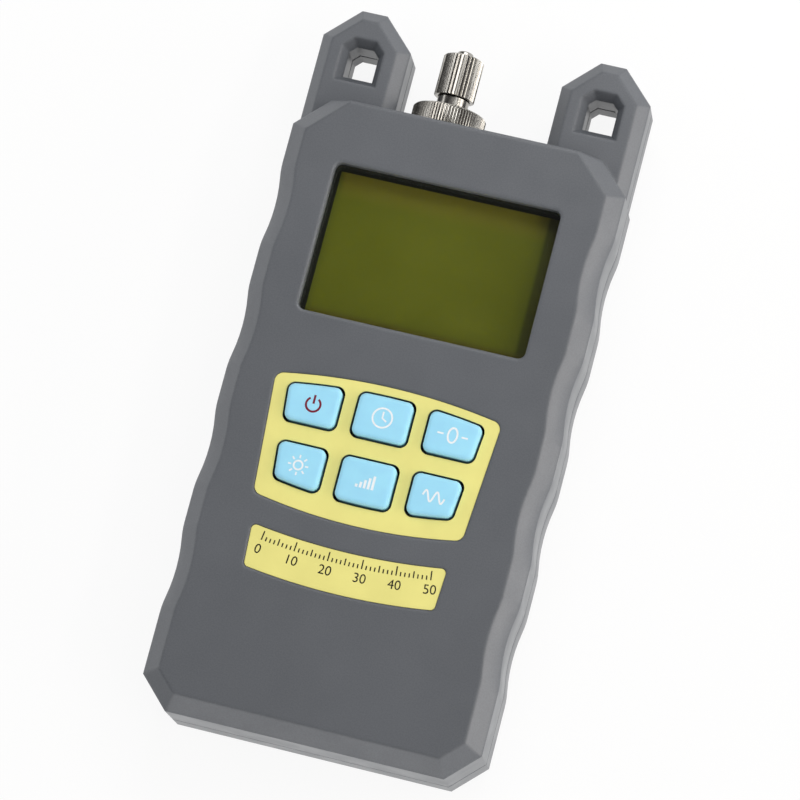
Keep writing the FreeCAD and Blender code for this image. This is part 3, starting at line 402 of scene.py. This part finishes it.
def knurl_teeth(name, centre, root, crest, y0, y1, count, end_slope, material):
    """Straight knurl: one tooth, repeated round the port axis by Geometry Nodes."""
    half = math.pi * root / count
    bm = bmesh.new()
    base = [bm.verts.new((root - 0.08, s * half, z)) for z in (y0, y1) for s in (-1, 1)]
    top = [bm.verts.new((crest, 0, z)) for z in (y0 + end_slope * 0.35, y1 - end_slope)]
    bm.faces.new((base[0], base[1], top[0]))
    bm.faces.new((base[3], base[2], top[1]))
    bm.faces.new((base[1], base[3], top[1], top[0]))
    bm.faces.new((base[2], base[0], top[0], top[1]))
    bm.faces.new((base[0], base[2], base[3], base[1]))
    bmesh.ops.recalc_face_normals(bm, faces=bm.faces)
    tooth_mesh = bpy.data.meshes.new(name + "_tooth")
    bm.to_mesh(tooth_mesh)
    bm.free()
    tooth_mesh.materials.append(material)
    tooth = bpy.data.objects.new(name + "_tooth", tooth_mesh)
    bpy.context.scene.collection.objects.link(tooth)

    tree = bpy.data.node_groups.new(name + "_repeat", "GeometryNodeTree")
    tree.interface.new_socket("Geometry", in_out="OUTPUT", socket_type="NodeSocketGeometry")
    number = tree.interface.new_socket("Teeth", in_out="INPUT", socket_type="NodeSocketInt")
    shape = tree.interface.new_socket("Tooth", in_out="INPUT", socket_type="NodeSocketObject")
    finish = tree.interface.new_socket("Finish", in_out="INPUT", socket_type="NodeSocketMaterial")
    given = add(tree, "NodeGroupInput")
    spots = add(tree, "GeometryNodePoints", {"Count": given.outputs["Teeth"]})
    step = add(tree, "ShaderNodeMath", {0: 2 * math.pi, 1: given.outputs["Teeth"]}, operation="DIVIDE")
    angle = add(tree, "ShaderNodeMath", {0: add(tree, "GeometryNodeInputIndex").outputs[0],
                                         1: step.outputs[0]}, operation="MULTIPLY")
    turn = add(tree, "ShaderNodeCombineXYZ", {"Z": angle.outputs[0]})
    source = add(tree, "GeometryNodeObjectInfo", {"Object": given.outputs["Tooth"]})
    placed = add(tree, "GeometryNodeInstanceOnPoints", {"Points": spots.outputs[0],
                                                        "Instance": source.outputs["Geometry"],
                                                        "Rotation": turn.outputs[0]})
    real = add(tree, "GeometryNodeRealizeInstances", {"Geometry": placed.outputs[0]})
    painted = add(tree, "GeometryNodeSetMaterial", {"Geometry": real.outputs[0],
                                                    "Material": given.outputs["Finish"]})
    add(tree, "NodeGroupOutput", {"Geometry": painted.outputs[0]})

    holder = bpy.data.objects.new(name + "_holder", bpy.data.meshes.new(name + "_holder"))
    bpy.context.scene.collection.objects.link(holder)
    modifier = holder.modifiers.new("repeat", "NODES")
    modifier.node_group = tree
    modifier[number.identifier] = count
    modifier[shape.identifier] = tooth
    modifier[finish.identifier] = material
    mesh = evaluated_mesh(holder)
    holder.modifiers.remove(modifier)
    bpy.data.objects.remove(holder)
    bpy.data.objects.remove(tooth)
    to_port = Matrix.Translation((centre[0], 0, centre[1])) @ Matrix.Rotation(-math.pi / 2, 4, "X")
    mesh.transform(to_port @ Matrix.Scale(MM, 4))
    piece = bpy.data.objects.new(name, mesh)
    bpy.context.scene.collection.objects.link(piece)
    return piece


def helix_ridge(bm, centre, root, crest, y0, y1, pitch, steps=40):
    """One start of a fine thread as a ridge along a helix, tapering out at both ends."""
    count = int(round((y1 - y0) / pitch * steps))
    rows = []
    for i in range(count + 1):
        angle = 2 * math.pi * i / steps
        y = y0 + (y1 - y0) * i / count
        lift = min(1.0, i / (steps / 4), (count - i) / (steps / 4))
        row = []
        for radius, shift in ((root - 0.05, -0.42), (root + (crest - root) * lift, 0.0),
                              (root - 0.05, 0.42)):
            row.append(bm.verts.new((centre[0] + radius * MM * math.cos(angle),
                                     (y + shift * pitch) * MM,
                                     centre[1] - radius * MM * math.sin(angle))))
        rows.append(row)
    for a, b in zip(rows, rows[1:]):
        for j in range(2):
            bm.faces.new((a[j], a[j + 1], b[j + 1], b[j]))
        bm.faces.new((a[2], a[0], b[0], b[2]))
    bm.faces.new(rows[0])
    bm.faces.new(reversed(rows[-1]))


# ---- fibre port and its cap ----------------------------------------------------------------
# Radii and places along the port's axis are in millimetres.

adapter_low, adapter_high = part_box("fc_adapter")
cap_low, cap_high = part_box("dust_cap")
stud_low, stud_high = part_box("cap_stud")
port_axis = ((adapter_low[0] + adapter_high[0]) / 2, (adapter_low[2] + adapter_high[2]) / 2)
ring_radius = (adapter_high[0] - adapter_low[0]) / 2 / MM
ring_y0, snout_y1 = adapter_low[1] / MM, adapter_high[1] / MM
cap_radius = (cap_high[0] - cap_low[0]) / 2 / MM
RING_LENGTH = 6.0
RING_TEETH = 74
FLANGE_LENGTH = 1.1
GROOVE_DEPTH = 0.48
STUB_RADIUS = 5.98
STUB_DEPTH = 4.3
NECK_RADIUS = 3.85
NECK_LENGTH = 2.8
THREAD_ROOT = 3.5
THREAD_CREST = 3.84
THREAD_PITCH = 0.75
BORE_RADIUS = 3.0
BORE_DEPTH = 5.5
SLEEVE_RADIUS = 1.73
KEY_SLOT_WIDTH = 2.1
CAP_BORE_RADIUS = 3.93
CAP_END_THICKNESS = 1.8
CAP_TEETH = 32
CAP_EASE = 0.45
STUD_HEAD_RADIUS = 1.9
STUD_HEAD_HEIGHT = 0.55
STUD_SHANK_RADIUS = 0.95
STUD_HOLE_RADIUS = 0.97
TOOTH_DEPTH = 0.3
ring_y1 = ring_y0 + RING_LENGTH
neck_y1 = ring_y1 + NECK_LENGTH
knurl_y0 = ring_y0 + FLANGE_LENGTH
ring_root, cap_root = ring_radius - TOOTH_DEPTH, cap_radius - TOOTH_DEPTH
cap_y0, cap_y1 = cap_low[1] / MM + CAP_EASE, cap_high[1] / MM - CAP_EASE


def dress_metal(piece, body, node_name=None):
    """A plated piece rides on its body, and stands in for the node that it redraws."""
    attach(piece, body)
    if node_name:
        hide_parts(node_name)


def cut_key_slot(adapter):
    """The notch in the snout's upper side that a plug's key slides into."""
    block = bmesh.new()
    bmesh.ops.create_cube(block, size=1.0, matrix=Matrix.Translation(
        (port_axis[0], (snout_y1 - 0.6) * MM, port_axis[1] + 4.0 * MM)) @ Matrix.Diagonal(
            (KEY_SLOT_WIDTH * MM, 3.2 * MM, 4.6 * MM, 1)))
    tool = finish_piece("slot_tool", block, NICKEL)
    notch = adapter.modifiers.new("key_slot", "BOOLEAN")
    notch.object = tool
    notch.operation = "DIFFERENCE"
    notch.solver = "EXACT"
    cut_mesh = evaluated_mesh(adapter)
    adapter.modifiers.remove(notch)
    adapter.data = cut_mesh
    bpy.data.objects.remove(tool)


def port_adapter():
    """A flange and a groove, the ring with a rounded shoulder, a smooth neck and the snout."""
    bm = bmesh.new()
    lathe(bm, [(STUB_RADIUS, ring_y0), (ring_root - 0.03, ring_y0), (ring_root - 0.03, knurl_y0 - 0.45),
               (ring_root - GROOVE_DEPTH, knurl_y0 - 0.22), (ring_root - GROOVE_DEPTH, knurl_y0),
               (ring_root, knurl_y0 + 0.1), (ring_root, ring_y1 - 0.7), (ring_root - 0.1, ring_y1 - 0.45),
               (ring_root - 0.6, ring_y1 - 0.05), (ring_root - 0.8, ring_y1), (4.2, ring_y1),
               (NECK_RADIUS, ring_y1 + 0.2), (NECK_RADIUS, neck_y1 + 0.2), (THREAD_ROOT, neck_y1 + 0.5),
               (THREAD_ROOT, snout_y1 - 0.5), (THREAD_ROOT - 0.3, snout_y1),
               (BORE_RADIUS, snout_y1), (BORE_RADIUS, snout_y1 - BORE_DEPTH),
               (SLEEVE_RADIUS, snout_y1 - BORE_DEPTH), (SLEEVE_RADIUS, ring_y0 + STUB_DEPTH),
               (STUB_RADIUS, ring_y0 + STUB_DEPTH)], port_axis)
    adapter = finish_piece("adapter_turned", bm, NICKEL, 35)
    cut_key_slot(adapter)
    dress_metal(adapter, "case", "fc_adapter")
    dress_metal(knurl_teeth("ring_knurl", port_axis, ring_root, ring_radius, knurl_y0 + 0.1,
                            ring_y1 - 0.25, RING_TEETH, 0.42, NICKEL), "case")


def port_thread():
    """The fine thread that the cap or a plug screws on."""
    bm = bmesh.new()
    helix_ridge(bm, port_axis, THREAD_ROOT, THREAD_CREST, neck_y1 + 0.9, snout_y1 - 0.5, THREAD_PITCH)
    dress_metal(finish_piece("port_thread", bm, NICKEL, 30), "case")


def dust_cap():
    """A plain cup with a bevelled end, and a coarse straight knurl along its side."""
    bm = bmesh.new()
    lathe(bm, [(CAP_BORE_RADIUS, cap_y0), (cap_root - 0.05, cap_y0), (cap_root, cap_y0 + 0.05),
               (cap_root, cap_y1 - 0.4), (cap_root - 0.4, cap_y1), (STUD_HOLE_RADIUS, cap_y1),
               (STUD_HOLE_RADIUS, cap_y1 - CAP_END_THICKNESS),
               (CAP_BORE_RADIUS, cap_y1 - CAP_END_THICKNESS)], port_axis, 96)
    dress_metal(finish_piece("cap_turned", bm, NICKEL, 35), "cap", "dust_cap")
    dress_metal(knurl_teeth("cap_knurl", port_axis, cap_root, cap_radius, cap_y0, cap_y1 - 0.15,
                            CAP_TEETH, 0.3, NICKEL), "cap")


def cap_stud():
    """The stud's riveted head, a low dome in the middle of the cap's end."""
    stud_y0, stud_y1 = stud_low[1] / MM, stud_high[1] / MM
    dome = [(STUD_HEAD_RADIUS * math.sin(math.radians(a)),
             stud_y1 - STUD_HEAD_HEIGHT * (1 - math.cos(math.radians(a))))
            for a in (1, 15, 30, 45, 60, 75, 90)]
    bm = bmesh.new()
    lathe(bm, dome + [(STUD_HEAD_RADIUS, cap_y1 + 0.02), (STUD_SHANK_RADIUS, cap_y1 + 0.02),
                      (STUD_SHANK_RADIUS, stud_y0), (0.03, stud_y0)], port_axis, 64)
    dress_metal(finish_piece("stud_turned", bm, NICKEL, 35), "cap", "cap_stud")


for make in (port_adapter, port_thread, dust_cap, cap_stud):
    make()


# ---- prints on the keys and the plate ----------------------------------------------------

PRINT_LIFT = 0.02 * MM


def key_centre(key):
    """The middle of a key's crown, just above it."""
    low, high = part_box("key_" + key)
    return ((low[0] + high[0]) / 2, (low[1] + high[1]) / 2, high[2] + PRINT_LIFT)


def print_on_key(key, bm, material):
    """The icon that bm holds moves with its key."""
    piece = finish_piece("print_" + key, bm, material)
    if piece.data.polygons[0].normal.z < 0:
        piece.data.flip_normals()
    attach(piece, "key_" + key + "_body")


def power_print():
    """A broken ring with a bar, a little off the key's middle."""
    x, y, z = key_centre("power")
    x, y = x + 0.4 * MM, y - 0.35 * MM
    bm = bmesh.new()
    ribbon(bm, circle_points((x, y), 1.7 * MM, 125, 415), 0.5 * MM, z)
    bar(bm, x - 0.25 * MM, x + 0.25 * MM, y + 0.2 * MM, y + 2.3 * MM, z)
    print_on_key("power", bm, CRIMSON)


def timer_print():
    """A clock face with two hands."""
    x, y, z = key_centre("timer")
    bm = bmesh.new()
    ribbon(bm, circle_points((x, y), 2.3 * MM), 0.42 * MM, z, True)
    ribbon(bm, [(x, y + 1.5 * MM), (x, y - 0.05 * MM), (x + 1.1 * MM, y - 0.75 * MM)], 0.4 * MM, z)
    print_on_key("timer", bm, WHITE_INK)


def zero_print():
    """A nought between two dashes."""
    x, y, z = key_centre("zero")
    bm = bmesh.new()
    ribbon(bm, circle_points((x, y), 1.75 * MM, squash=0.62), 0.45 * MM, z, True)
    for s in (-1, 1):
        bar(bm, x + (2.9 * s - 0.75) * MM, x + (2.9 * s + 0.75) * MM, y - 0.2 * MM, y + 0.2 * MM, z)
    print_on_key("zero", bm, WHITE_INK)


def light_print():
    """A sun with eight rays."""
    x, y, z = key_centre("light")
    bm = bmesh.new()
    ribbon(bm, circle_points((x, y), 1.05 * MM), 0.42 * MM, z, True)
    ray_start, ray_end = 1.65 * MM, 2.45 * MM
    for i in range(8):
        angle = math.pi * i / 4
        c, s = math.cos(angle), math.sin(angle)
        ribbon(bm, [(x + ray_start * c, y + ray_start * s), (x + ray_end * c, y + ray_end * s)],
               0.38 * MM, z)
    print_on_key("light", bm, WHITE_INK)


def level_print():
    """Five bars that rise to the right."""
    x, y, z = key_centre("level")
    bm = bmesh.new()
    for i in range(5):
        left = x + (i * 0.95 - 2.2) * MM
        bar(bm, left, left + 0.6 * MM, y - 1.5 * MM, y + (-0.8 + 0.65 * i) * MM, z)
    print_on_key("level", bm, WHITE_INK)


def wave_print():
    """Two periods of a sine wave."""
    x, y, z = key_centre("wave")
    bm = bmesh.new()
    steps, length, height = 48, 5.2 * MM, 1.25 * MM
    points = []
    for i in range(steps + 1):
        u = i / steps
        points.append((x + (u - 0.5) * length, y + height * math.sin(u * 4 * math.pi)))
    ribbon(bm, points, 0.42 * MM, z)
    print_on_key("wave", bm, WHITE_INK)


for draw in (power_print, timer_print, zero_print, light_print, level_print, wave_print):
    draw()


PLATE_BOW_RADIUS = 158.0 * MM
SCALE_HALF = 20
TICKS_FOOT = 4.5
NUMBERS_TOP = 5.2
TICKS_EACH_TEN = 8
plate_low, plate_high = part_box("name_plate")
plate_print_z = plate_high[2] + PRINT_LIFT


def place_on_bow(step, down_mm):
    """Point and turn of a print: step millimetres along the bow, down_mm below the plate's top."""
    half = (plate_high[0] - plate_low[0]) / 2
    rise = half ** 2 / (2 * PLATE_BOW_RADIUS) / MM
    turn = step * MM / PLATE_BOW_RADIUS
    reach = PLATE_BOW_RADIUS - (rise - down_mm) * MM
    middle_x = (plate_low[0] + plate_high[0]) / 2
    hub_y = plate_high[1] + PLATE_BOW_RADIUS - rise * MM
    return (middle_x + reach * math.sin(turn), hub_y - reach * math.cos(turn)), turn


def print_on_plate(piece):
    """A printed piece stays with the plate, on the case."""
    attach(piece, "case")


def plate_ticks():
    """Ticks a millimetre apart that stand on one bow, longer at the tens and halfway between."""
    bm = bmesh.new()
    for i in range(2 * SCALE_HALF + 1):
        tall = 2.2 if i % TICKS_EACH_TEN == 0 else (1.6 if i % (TICKS_EACH_TEN // 2) == 0 else 1.0)
        foot = place_on_bow(i - SCALE_HALF, TICKS_FOOT)[0]
        tip = place_on_bow(i - SCALE_HALF, TICKS_FOOT - tall)[0]
        ribbon(bm, [foot, tip], 0.3 * MM, plate_print_z)
    print_on_plate(finish_piece("plate_ticks", bm, BLACK_INK))


def plate_number(i):
    """The number under the scale's tick at ten times i, turned with the bow."""
    face = bpy.data.curves.new("number_%d" % i, "FONT")
    face.body = str(i * 10)
    face.size = 3.2 * MM
    face.align_x = "CENTER"
    face.align_y = "TOP"
    written = bpy.data.objects.new("number_%d" % i, face)
    bpy.context.scene.collection.objects.link(written)
    mesh = evaluated_mesh(written)
    bpy.data.objects.remove(written)
    spot, turn = place_on_bow(i * TICKS_EACH_TEN - SCALE_HALF, NUMBERS_TOP)
    mesh.transform(Matrix.Translation((*spot, plate_print_z)) @ Matrix.Rotation(turn, 4, "Z"))
    mesh.materials.clear()
    mesh.materials.append(BLACK_INK)
    number = bpy.data.objects.new("plate_number_%d" % i, mesh)
    bpy.context.scene.collection.objects.link(number)
    print_on_plate(number)


plate_ticks()
for i in range(2 * SCALE_HALF // TICKS_EACH_TEN + 1):
    plate_number(i)


# ---- soft edges on the carried-over pieces -------------------------------------------------

MERGE_WITHIN = 0.002 * MM
SHARP_FROM = math.radians(32)
KEY_TRIM = 0.24 * MM


def soften(node_name, width_mm):
    """Merges the triangles' corners and rounds the edges that are still sharp."""
    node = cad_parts[node_name]
    weld = node.modifiers.new("merge_corners", "WELD")
    weld.merge_threshold = MERGE_WITHIN
    edge = node.modifiers.new("round_edges", "BEVEL")
    edge.width = width_mm * MM
    edge.segments = 2
    edge.limit_method = "ANGLE"
    edge.angle_limit = SHARP_FROM
    edge.use_clamp_overlap = True
    edge.harden_normals = True
    edge.miter_outer = "MITER_ARC"


def trimmed_key(key):
    """The key's own mesh drawn in on all four sides, as the rubber stands in its opening."""
    low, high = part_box("key_" + key)
    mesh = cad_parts["key_" + key].data.copy()
    middle = (Vector(low) + Vector(high)) / 2
    for vert in mesh.vertices:
        for i in (0, 1):
            reach = (high[i] - low[i]) / 2
            vert.co[i] -= KEY_TRIM * (vert.co[i] - middle[i]) / reach
    piece = bpy.data.objects.new("rubber_" + key, mesh)
    bpy.context.scene.collection.objects.link(piece)
    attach(piece, "key_" + key + "_body")
    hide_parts("key_" + key)


for name, width in (("front_shell", 0.15), ("rear_shell", 0.15), ("battery_door", 0.2)):
    soften(name, width)
for key in KEYS:
    trimmed_key(key)


# ---- stage, camera and lights ------------------------------------------------------------

FLOOR_DROP = 0.05 * MM
FLOOR_GLOW = 0.9
SKY_LIGHT = 0.36
RIG_CENTRE = (0, 0, 0.01)
WARM_WHITE = "#fffaf4"


def seen_rays(tree):
    """1 for a ray that the camera, a glossy surface or clear plastic sees, 0 for one that lights."""
    rays = add(tree, "ShaderNodeLightPath").outputs
    seen = rays["Is Camera Ray"]
    for kind in ("Is Glossy Ray", "Is Transmission Ray"):
        seen = add(tree, "ShaderNodeMath", {0: seen, 1: rays[kind]}, operation="MAXIMUM").outputs[0]
    return seen


def stage_floor():
    """A pale sweep that takes the meter's shadow and that the camera and the metal see as white."""
    material, tree, place = new_material("white_sweep")
    cloud = between(tree, noise(tree, place, 900.0, 2.0), 0.3, 0.7, 0.0, 1.0)
    tone = blend(tree, cloud, srgb("#f6f6f6"), srgb("#fbfbfb"))
    paper = add(tree, "ShaderNodeBsdfDiffuse", {"Color": tone})
    glow = add(tree, "ShaderNodeEmission", {"Color": (1, 1, 1, 1), "Strength": 1.0})
    share = add(tree, "ShaderNodeMath", {0: seen_rays(tree), 1: FLOOR_GLOW},
                operation="MULTIPLY").outputs[0]
    mixed = add(tree, "ShaderNodeMixShader", {0: share, 1: paper.outputs[0], 2: glow.outputs[0]})
    add(tree, "ShaderNodeOutputMaterial", {"Surface": mixed.outputs[0]})
    bm = bmesh.new()
    bmesh.ops.create_grid(bm, x_segments=1, y_segments=1, size=4.0)
    bmesh.ops.translate(bm, verts=bm.verts, vec=(0, 0, -FLOOR_DROP))
    piece = finish_piece("floor", bm, material)
    if piece.data.polygons[0].normal.z < 0:
        piece.data.flip_normals()


def world_light():
    """A dim even sky and a white backdrop. Shiny pieces see its ceiling and its left side darker."""
    world = bpy.data.worlds.new("studio")
    bpy.context.scene.world = world
    world.use_nodes = True
    tree = world.node_tree
    tree.nodes.clear()
    way = add(tree, "ShaderNodeSeparateXYZ",
              {"Vector": add(tree, "ShaderNodeTexCoord").outputs["Generated"]}).outputs
    ceiling = between(tree, way["Z"], 0.35, 0.85, 1.0, 0.14)
    side = between(tree, way["X"], -0.45, 0.35, 0.2, 1.0)
    reflected = add(tree, "ShaderNodeMath", {0: ceiling, 1: side}, operation="MULTIPLY").outputs[0]
    backdrop = between(tree, add(tree, "ShaderNodeLightPath").outputs["Is Camera Ray"], 0.0, 1.0,
                       reflected, 1.0)
    strength = between(tree, seen_rays(tree), 0.0, 1.0, SKY_LIGHT, backdrop)
    sky = add(tree, "ShaderNodeBackground", {"Color": (1, 1, 1, 1), "Strength": strength})
    add(tree, "ShaderNodeOutputWorld", {"Surface": sky.outputs[0]})


def area_light(name, place, target, size, power, colour="#ffffff"):
    """A softbox at place, turned to target. Power is in watts."""
    light = bpy.data.lights.new(name, "AREA")
    light.color = srgb(colour)[:3]
    light.shape = "RECTANGLE"
    light.size, light.size_y = size
    light.energy = power
    lamp = bpy.data.objects.new(name, light)
    lamp.location = place
    lamp.rotation_euler = (Vector(target) - Vector(place)).to_track_quat("-Z", "Y").to_euler()
    bpy.context.scene.collection.objects.link(lamp)


def camera():
    """A long lens high above the meter, a little to the right of its tail."""
    data = bpy.data.cameras.new("camera")
    data.sensor_width = 36.0
    data.lens = 202.5
    data.clip_start = 0.05
    data.clip_end = 30.0
    eye = bpy.data.objects.new("camera", data)
    eye.location = (0.16045, -0.20600, 1.03880)
    eye.rotation_euler = (0.2271485, 0.1012494, 0.2551706)
    bpy.context.scene.collection.objects.link(eye)
    bpy.context.scene.camera = eye


stage_floor()
world_light()
area_light("right_softbox", (0.95, -0.05, 0.29), RIG_CENTRE, (1.1, 0.5), 5.3, WARM_WHITE)
area_light("right_strip", (0.72, -0.12, 0.78), RIG_CENTRE, (1.0, 0.09), 2.6, WARM_WHITE)
area_light("top_softbox", (0.07, 0.37, 0.46), (0, 0.03, 0.01), (0.5, 0.2), 1.55)
area_light("tail_softbox", (-0.05, -0.9, 0.17), RIG_CENTRE, (0.9, 0.22), 1.4)
area_light("left_fill", (-0.95, 0.05, 0.27), RIG_CENTRE, (1.0, 0.5), 2.3)
camera()

bpy.context.scene.view_settings.view_transform = "Standard"
